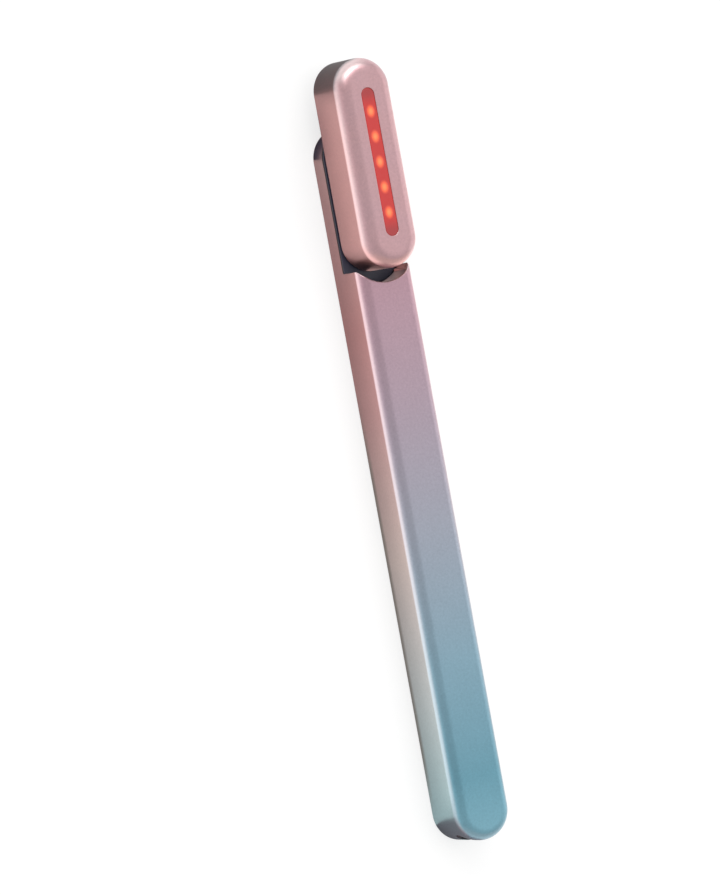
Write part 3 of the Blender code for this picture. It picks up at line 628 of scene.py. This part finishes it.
def makeHandle():
    low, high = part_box("handle_shell")
    half, top = high.y, high.z
    bottomMiddle, tongueMiddle = low.x + half, high.x - half
    tongueTop = handle["tongueTop"]
    bm = bmesh.new()
    verts = wireAlong(bm, [(bottomMiddle, 0, top), (bottomMiddle, half, top),
                           (bottomMiddle, half, tongueTop), (bottomMiddle, half, 0),
                           (bottomMiddle, 0, 0)])
    roundCorner(bm, verts[1], handle["frontRound"], handle["frontRoundSteps"])
    roundCorner(bm, verts[3], handle["backRound"], handle["backRoundSteps"])
    flat = [e for e in bm.edges if allAt(e, top)]
    bmesh.ops.subdivide_edges(bm, edges=flat, cuts=handle["frontSteps"])
    turn(bm, bm.edges[:], (bottomMiddle, 0, 0), math.pi, handle["turnSteps"])
    weld(bm)
    # the bar, up to the step's arc
    reach = arcAt(0) - bottomMiddle - handle["frontRound"]
    edges = pull(bm, rimOf(bm), (reach, 0, 0))[1]
    verts, edges = pull(bm, edges, (1, 0, 0))
    for vert in verts:
        vert.co.x = arcAt(vert.co.y) if vert.co.z > tongueTop - nearly else arcAt(half)
    # the tongue
    lower = [e for e in edges if all(v.co.z < tongueTop + nearly for v in e.verts)]
    edges = pull(bm, lower, (tongueMiddle - arcAt(half), 0, 0))[1]
    side = [e for e in edges if all(v.co.y > -nearly for v in e.verts)]
    turn(bm, side, (tongueMiddle, 0, 0), -math.pi, handle["turnSteps"])
    weld(bm)
    outwards(bm)
    shell = shellOf(pieceFrom("wand_handle", bm), handle["wall"])

    def cutEdge(bm):
        for vert in bm.verts:
            onStep = arcAt(0) - nearly < vert.co.x < arcAt(half) + nearly
            if onStep and vert.co.z > tongueTop - nearly:
                vert.co.x = arcAt(vert.co.y)

        def onLip(vert):
            return abs(vert.co.x - arcAt(vert.co.y)) < nearly and vert.co.z > tongueTop - nearly
        soften(bm, [e for e in bm.edges if isSharp(e) and all(onLip(v) for v in e.verts)], handle["lip"])
    reshape(shell, cutEdge)
    return shell


def cutHoles(shell):
    low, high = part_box("handle_shell")
    across, tall, level = handle["port"]
    wall, hole = handle["wall"], handle["buttonHole"]
    reach = (across - tall) / 2
    port = stadiumBlock("port", (-reach, reach), tall / 2, -wall, 5 * wall, handle["portSteps"])

    def standUp(bm):
        bmesh.ops.rotate(bm, verts=bm.verts[:], cent=(0, 0, 0),
                         matrix=Matrix(((0, 0, 1), (1, 0, 0), (0, 1, 0))))
        bmesh.ops.translate(bm, verts=bm.verts[:], vec=(low.x, 0, level))
    reshape(port, standUp)
    carve(shell, port)
    buttonLow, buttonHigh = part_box("power_button")
    buttonMiddle = (buttonLow.x + buttonHigh.x) / 2
    carve(shell, rod("buttonHole", (buttonMiddle, 0), hole, -wall, 2 * wall))

    def softenHoles(bm):
        endMiddle = low.x + high.y

        def onPort(vert):
            outside = math.hypot(vert.co.x - endMiddle, vert.co.y) > high.y - 2 * nearly
            return outside and vert.co.x < endMiddle and abs(vert.co.z - level) < tall / 2 + nearly

        def onButton(vert):
            near = math.hypot(vert.co.x - buttonMiddle, vert.co.y) < hole + 2 * nearly
            return near and vert.co.z < nearly
        for chosen in (onPort, onButton):
            rim = [e for e in bm.edges if e.is_manifold and e.calc_face_angle() > handle["holeEdgeFrom"]
                   and chosen(e.verts[0]) and chosen(e.verts[1])]
            soften(bm, rim, handle["holeEdge"])
    reshape(shell, softenHoles)


wandHandle = makeHandle()
cutHoles(wandHandle)
finished(wandHandle, "handle", looks["handle_metal"], "handle_shell")
print("handle made")


# head
head = {
    "frontRound": 0.0037,
    "frontRoundSteps": 16,
    "backRound": 0.0003,
    "backRoundSteps": 4,
    "wall": 0.001,
    "slot": (0.0358, 0.00344),   # length, width
    "slotSteps": 24,
    "slotEdge": 0.00014,
    "rimReach": 0.00002,         # how far inside the head's side its outer rim may lie
    "turnSteps": 48,
}


def distanceToLine(place, ends):
    # how far a point is from the stadium's own middle line
    along = min(max(place.x, ends[0]), ends[1])
    return math.hypot(place.x - along, place.y)


def makeHead():
    low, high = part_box("head_shell")
    half, base, top = high.y, low.z, high.z
    middle = (low.x + high.x) / 2
    ends = (low.x + half, high.x - half)
    flat = half - head["frontRound"]
    bm = bmesh.new()
    verts = wireAlong(bm, [(ends[0], half, base), (ends[0], half, top),
                           (ends[0], flat - head["frontRound"], top)])
    roundCorner(bm, verts[1], head["frontRound"], head["frontRoundSteps"])
    spare = [v for v in bm.verts if v.co.y < flat - nearly]
    bmesh.ops.delete(bm, geom=spare, context="VERTS")
    turn(bm, bm.edges[:], (ends[0], 0, 0), math.pi, head["turnSteps"])
    weld(bm)
    edges = pull(bm, rimOf(bm, lambda e: all(abs(v.co.x - ends[0]) < nearly for v in e.verts)),
                 (ends[1] - ends[0], 0, 0))[1]
    side = [e for e in edges if all(v.co.y > 0 for v in e.verts)]
    turn(bm, side, (ends[1], 0, 0), -math.pi, head["turnSteps"])
    weld(bm)
    bmesh.ops.contextual_create(bm, geom=rimOf(bm, lambda e: allAt(e, top)))
    outwards(bm)
    shell = shellOf(pieceFrom("wand_head", bm), head["wall"])
    length, width = head["slot"]
    reach = (length - width) / 2
    carve(shell, stadiumBlock("slot", (middle - reach, middle + reach), width / 2,
                              top - 2 * head["wall"], top + head["wall"], head["slotSteps"]))

    def softenRims(bm):
        soften(bm, [e for e in bm.edges if isSharp(e) and allAt(e, top)], head["slotEdge"])
        outer = [e for e in bm.edges if isSharp(e) and allAt(e, base)
                 and all(distanceToLine(v.co, ends) > half - head["rimReach"] for v in e.verts)]
        soften(bm, outer, head["backRound"], head["backRoundSteps"])
    reshape(shell, softenRims)
    return shell


finished(makeHead(), "head", looks["head_metal"], "head_shell")
print("head made")


# window over the lights
window = {
    "flange": 0.00123,       # width of the hidden rim under the slot's edge
    "flangeDepth": 0.0008,
    "edge": 0.00022,
    "turnSteps": 32,
}


def makeWindow():
    low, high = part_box("lens_window")
    middle = (low.x + high.x) / 2
    radius = high.y
    reach = (high.x - low.x) / 2 - radius
    bm = bmesh.new()
    plate = stadiumFace(bm, (middle - reach, middle + reach), radius, low.z, window["turnSteps"])
    plate = lift(bm, plate, window["flangeDepth"])
    bmesh.ops.inset_region(bm, faces=[plate], thickness=window["flange"], use_even_offset=True)
    lift(bm, plate, high.z - low.z - window["flangeDepth"])
    outwards(bm)
    soften(bm, [e for e in bm.edges if allAt(e, high.z)], window["edge"])
    return pieceFrom("window_lens", bm)


finished(makeWindow(), "head", looks["window"], "lens_window")


# black moulding at the step
neck = {
    "setback": 0.0002,     # of the plug's face behind the handle's edge
    "clearance": 0.0001,
    "edge": 0.00015,
    "deckTop": 0.0057,
    "plugRound": 0.00185,
    "plugRoundSteps": 8,
    "stepSteps": 192,
    "ribLow": 0.0033,
    "ribHigh": 0.0053,
    "bore": 0.004,
    "stopTrack": (0.0057, 0.0012, 96.03),   # the pin's track: radius, width and spread in degrees
    "trackDepth": 0.0005,
    "threadHole": 0.0007,
    "sink": 0.0012,
    "sinkDepth": 0.0006,
    "turnSteps": 48,
}


def makeDeck(half, tongueMiddle, deckLow):
    # the flat part over the tongue
    stepMiddle, turnSteps = handle["stepMiddle"], neck["turnSteps"]
    radius = handle["stepRadius"] - neck["clearance"]
    spread = math.asin(half / radius)
    bm = bmesh.new()
    sweepPoint(bm, (stepMiddle - radius * math.cos(spread), half, deckLow), (stepMiddle, 0, 0),
               2 * spread, turnSteps)
    sweepPoint(bm, (tongueMiddle, -half, deckLow), (tongueMiddle, 0, 0), math.pi, turnSteps)
    for side in (-1, 1):
        bm.edges.new([v for v in bm.verts if abs(v.co.y - side * half) < nearly])
    deck = bmesh.ops.contextual_create(bm, geom=bm.edges[:])["faces"][0]
    lift(bm, deck, neck["deckTop"] - deckLow)
    outwards(bm)
    soften(bm, [e for e in bm.edges if allAt(e, neck["deckTop"])], neck["edge"])
    return pieceFrom("neck_moulding", bm)


def makePlug(start, across, bottom, top):
    # the plug that closes the handle, cut to the step's arc
    bm = bmesh.new()
    verts = [bm.verts.new((start, y, z)) for y, z in
             ((-across, bottom), (-across, top), (across, top), (across, bottom))]
    bm.faces.new(verts)
    for vert in verts[1:3]:
        roundCorner(bm, vert, neck["plugRound"], neck["plugRoundSteps"])
    made = bmesh.ops.extrude_face_region(bm, geom=bm.faces[:])["geom"]
    bmesh.ops.translate(bm, verts=onlyVerts(made), vec=(handle["stepMiddle"] - start, 0, 0))
    outwards(bm)
    plug = pieceFrom("plug", bm)
    carve(plug, rod("step", (handle["stepMiddle"], 0), handle["stepRadius"] + neck["setback"],
                    -neck["deckTop"], top + handle["wall"], neck["stepSteps"]))
    return plug


def makeNeck():
    low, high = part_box("neck_cap")
    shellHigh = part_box("handle_shell")[1]
    bushLow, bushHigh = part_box("pivot_bush")
    pivot = (bushLow.x + bushHigh.x) / 2
    half, deckTop = shellHigh.y, neck["deckTop"]
    deckLow = handle["tongueTop"] + neck["clearance"]
    across = half - handle["wall"] - neck["clearance"]
    moulding = makeDeck(half, shellHigh.x - half, deckLow)
    carve(moulding, makePlug(low.x, across, deckLow + neck["edge"], high.z), union=True)
    # a rib inside the tongue joins both
    ribEnds = (low.x + across, high.x - handle["wall"] - neck["clearance"] - across)
    carve(moulding, stadiumBlock("rib", ribEnds, across, neck["ribLow"], neck["ribHigh"],
                                 neck["turnSteps"]), union=True)
    carve(moulding, rod("bore", (pivot, 0), neck["bore"], 0, high.z))
    track, trackWidth, trackSpread = neck["stopTrack"]
    carve(moulding, ringSector("track", pivot, track - trackWidth / 2, track + trackWidth / 2,
                               deckTop - neck["trackDepth"], high.z, math.radians(trackSpread)))
    for number in (1, 2):
        screwLow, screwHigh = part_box(f"neck_screw_{number}")
        place = (screwLow + screwHigh) / 2
        carve(moulding, rod("thread", place, neck["threadHole"], 0, high.z))
        carve(moulding, rod("sink", place, neck["sink"], deckTop - neck["sinkDepth"], high.z))
    return moulding


finished(makeNeck(), "handle", neckFinish(), "neck_cap")
print("window and neck made")


# small pieces that show from outside or when the head is turned: new name, body and rounding
small = {
    "usb_bezel": ("inlet_bezel", "handle", 0.00008),
    "usb_socket": ("inlet_socket", "handle", 0.00006),
    "usb_contact_block": ("inlet_tongue", "handle", 0.00006),
    "power_button": ("button_cap", "button", 0.00006),
    "button_gasket": ("button_ring", "handle", 0.00005),
    "neck_screw_1": ("deck_screw_1", "handle", 0.00005),
    "neck_screw_2": ("deck_screw_2", "handle", 0.00005),
    "pivot_bush": ("swivel_bush", "handle", 0.00005),
    "head_base": ("head_plate", "head", 0.00006),
    "head_screw_1": ("plate_screw_1", "head", 0.00005),
    "head_screw_2": ("plate_screw_2", "head", 0.00005),
    "swivel_hub": ("hollow_hub", "head", 0.00005),
    "stop_pin": ("swivel_pin", "head", 0.00006),
}
for name, row in small.items():
    refined(name, *row)
print("small pieces made:", len(small))


# camera, light and floor
camera = {
    "place": (0.06208, 0.66498, 1.30330),
    "right": (-0.17934, -0.87537, 0.44898),
    "up": (0.98295, -0.17822, 0.04517),
    "back": (0.04048, 0.44942, 0.89240),
    "lens": 244.0,
    "sensor": 36,
}


def makeCamera():
    data = bpy.data.cameras.new("camera")
    data.lens = camera["lens"]
    data.sensor_width = camera["sensor"]
    eye = bpy.data.objects.new("camera", data)
    bpy.context.scene.collection.objects.link(eye)
    turned = Matrix((camera["right"], camera["up"], camera["back"])).transposed()
    eye.matrix_world = Matrix.Translation(camera["place"]) @ turned.to_4x4()
    bpy.context.scene.camera = eye


lamps = {   # where each stands, its width and height in metres, how bright its face is, and its tint
    "overhead": ((0.0, -0.62, 1.2), 1.5, 1.1, 0.32, (1, 1, 1)),
    "left": ((0.05, 1.25, 0.24), 1.3, 0.46, 0.35, (1, 0.97, 0.96)),
    "right": ((0.05, -1.3, 0.35), 1.3, 0.5, 0.95, (1, 0.96, 0.95)),
    "key": ((0.88, 0.12, 0.74), 1.3, 0.5, 3.2, (1, 0.98, 0.96)),
    "wash": ((0.1, -0.1, 1.6), 1.5, 1.5, 1.4, (1, 1, 1)),
}


def makeLamps():
    for name, (place, width, height, glow, tint) in lamps.items():
        data = bpy.data.lights.new(name, "AREA")
        data.shape = "RECTANGLE"
        data.size, data.size_y = width, height
        data.energy = glow * math.pi * width * height
        data.color = tint
        panel = bpy.data.objects.new(name, data)
        bpy.context.scene.collection.objects.link(panel)
        place = Vector(place)
        aim = place.to_track_quat("Z", "Y").to_matrix().to_4x4()
        panel.matrix_world = Matrix.Translation(place) @ aim
        panel.visible_camera = False
        panel.visible_glossy = name != "wash"   # this one only lights the floor and the plastics


surround = {
    "ambient": 0.72,
    "floorColour": (0.9, 0.9, 0.9, 1),
    "matt": 0.9,            # roughness of the floor and the cards
    "floorWhite": 0.7,      # share of plain white that the camera sees in the floor
    "floorInMetal": 0.2,    # and that reflections see
    "floorFades": (0.2, 0.5),   # distances between which the camera's floor turns plain white
    "floorSize": 6.0,
    "white": (1, 1, 1, 1),
}


def makeWorld():
    world = bpy.data.worlds.new("studio")
    bpy.context.scene.world = world
    world.use_nodes = True
    tree = world.node_tree
    path = tree.nodes.new("ShaderNodeLightPath")
    blend = tree.nodes.new("ShaderNodeMapRange")
    blend.inputs["To Min"].default_value = surround["ambient"]
    tree.links.new(path.outputs["Is Camera Ray"], blend.inputs["Value"])
    tree.links.new(blend.outputs[0], tree.nodes["Background"].inputs["Strength"])
    tree.nodes["Background"].inputs["Color"].default_value = surround["white"]


def makeFloor():
    bm = bmesh.new()
    bmesh.ops.create_grid(bm, x_segments=1, y_segments=1, size=surround["floorSize"])
    floor = pieceFrom("floor", bm)
    finish = Finish("white_floor", Roughness=surround["matt"], Base_Color=surround["floorColour"])
    path = finish.tree.nodes.new("ShaderNodeLightPath")
    far = finish.node("VectorMath", {"operation": "LENGTH"}, finish.place(), take="Value")

    def seen(kind, share):
        return Signal(finish, path.outputs[f"Is {kind} Ray"]) * share
    cameraWhite = far.step(*surround["floorFades"]).most(surround["floorWhite"])
    white = seen("Camera", cameraWhite).most(seen("Glossy", surround["floorInMetal"]))
    white = white.most(seen("Transmission", surround["floorInMetal"]))
    glow = finish.node("Emission", None, Color=surround["white"], Strength=1.0)
    finish.output(finish.surface(), glow, white)
    floor.data.materials.append(finish.material)


cards = {   # cards round the wand, which only reflections see: place, size, colour and glow
    "bottomFlag": ((-0.1052, 0.010, 0.0003), (0.030, 0.030), paint(150, 128, 136), 0.0),
    "headFlag": ((0.1050, 0.010, 0.0003), (0.033, 0.040), paint(120, 142, 145), 0.0),
    "tongueFlag": ((0.0785, 0.0042, 0.0004), (0.0110, 0.0106), paint(72, 98, 128), 0.0),
    "recessFlag": ((0.0476, -0.0024, 0.0059), (0.0130, 0.0078), paint(210, 180, 176), 0.8),
    "leftGlow": ((0.0, 0.034, 0.0002), (0.174, 0.040), paint(250, 246, 244), 0.6),
    "rightGlow": ((-0.005, -0.036, 0.0002), (0.185, 0.040), paint(255, 240, 236), 0.22),
}


def makeCards():
    for name, (place, size, colour, glow) in cards.items():
        bm = bmesh.new()
        made = bmesh.ops.create_grid(bm, x_segments=1, y_segments=1, size=0.5)
        bmesh.ops.scale(bm, verts=made["verts"], vec=(*size, 1))
        bmesh.ops.translate(bm, verts=made["verts"], vec=place)
        card = pieceFrom(name, bm)
        finish = Finish(name, Roughness=surround["matt"], Base_Color=colour, Emission_Color=colour,
                        Emission_Strength=glow)
        behind = finish.node("NewGeometry", take="Backfacing")   # cards show from above only
        finish.output(finish.surface(), finish.node("BsdfTransparent"), behind)
        card.data.materials.append(finish.material)
        card.visible_camera = card.visible_shadow = False
        card.visible_diffuse = card.visible_transmission = False


makeCamera()
makeLamps()
makeWorld()
makeFloor()
makeCards()
bpy.context.scene.view_settings.view_transform = "Standard"
print("studio made")
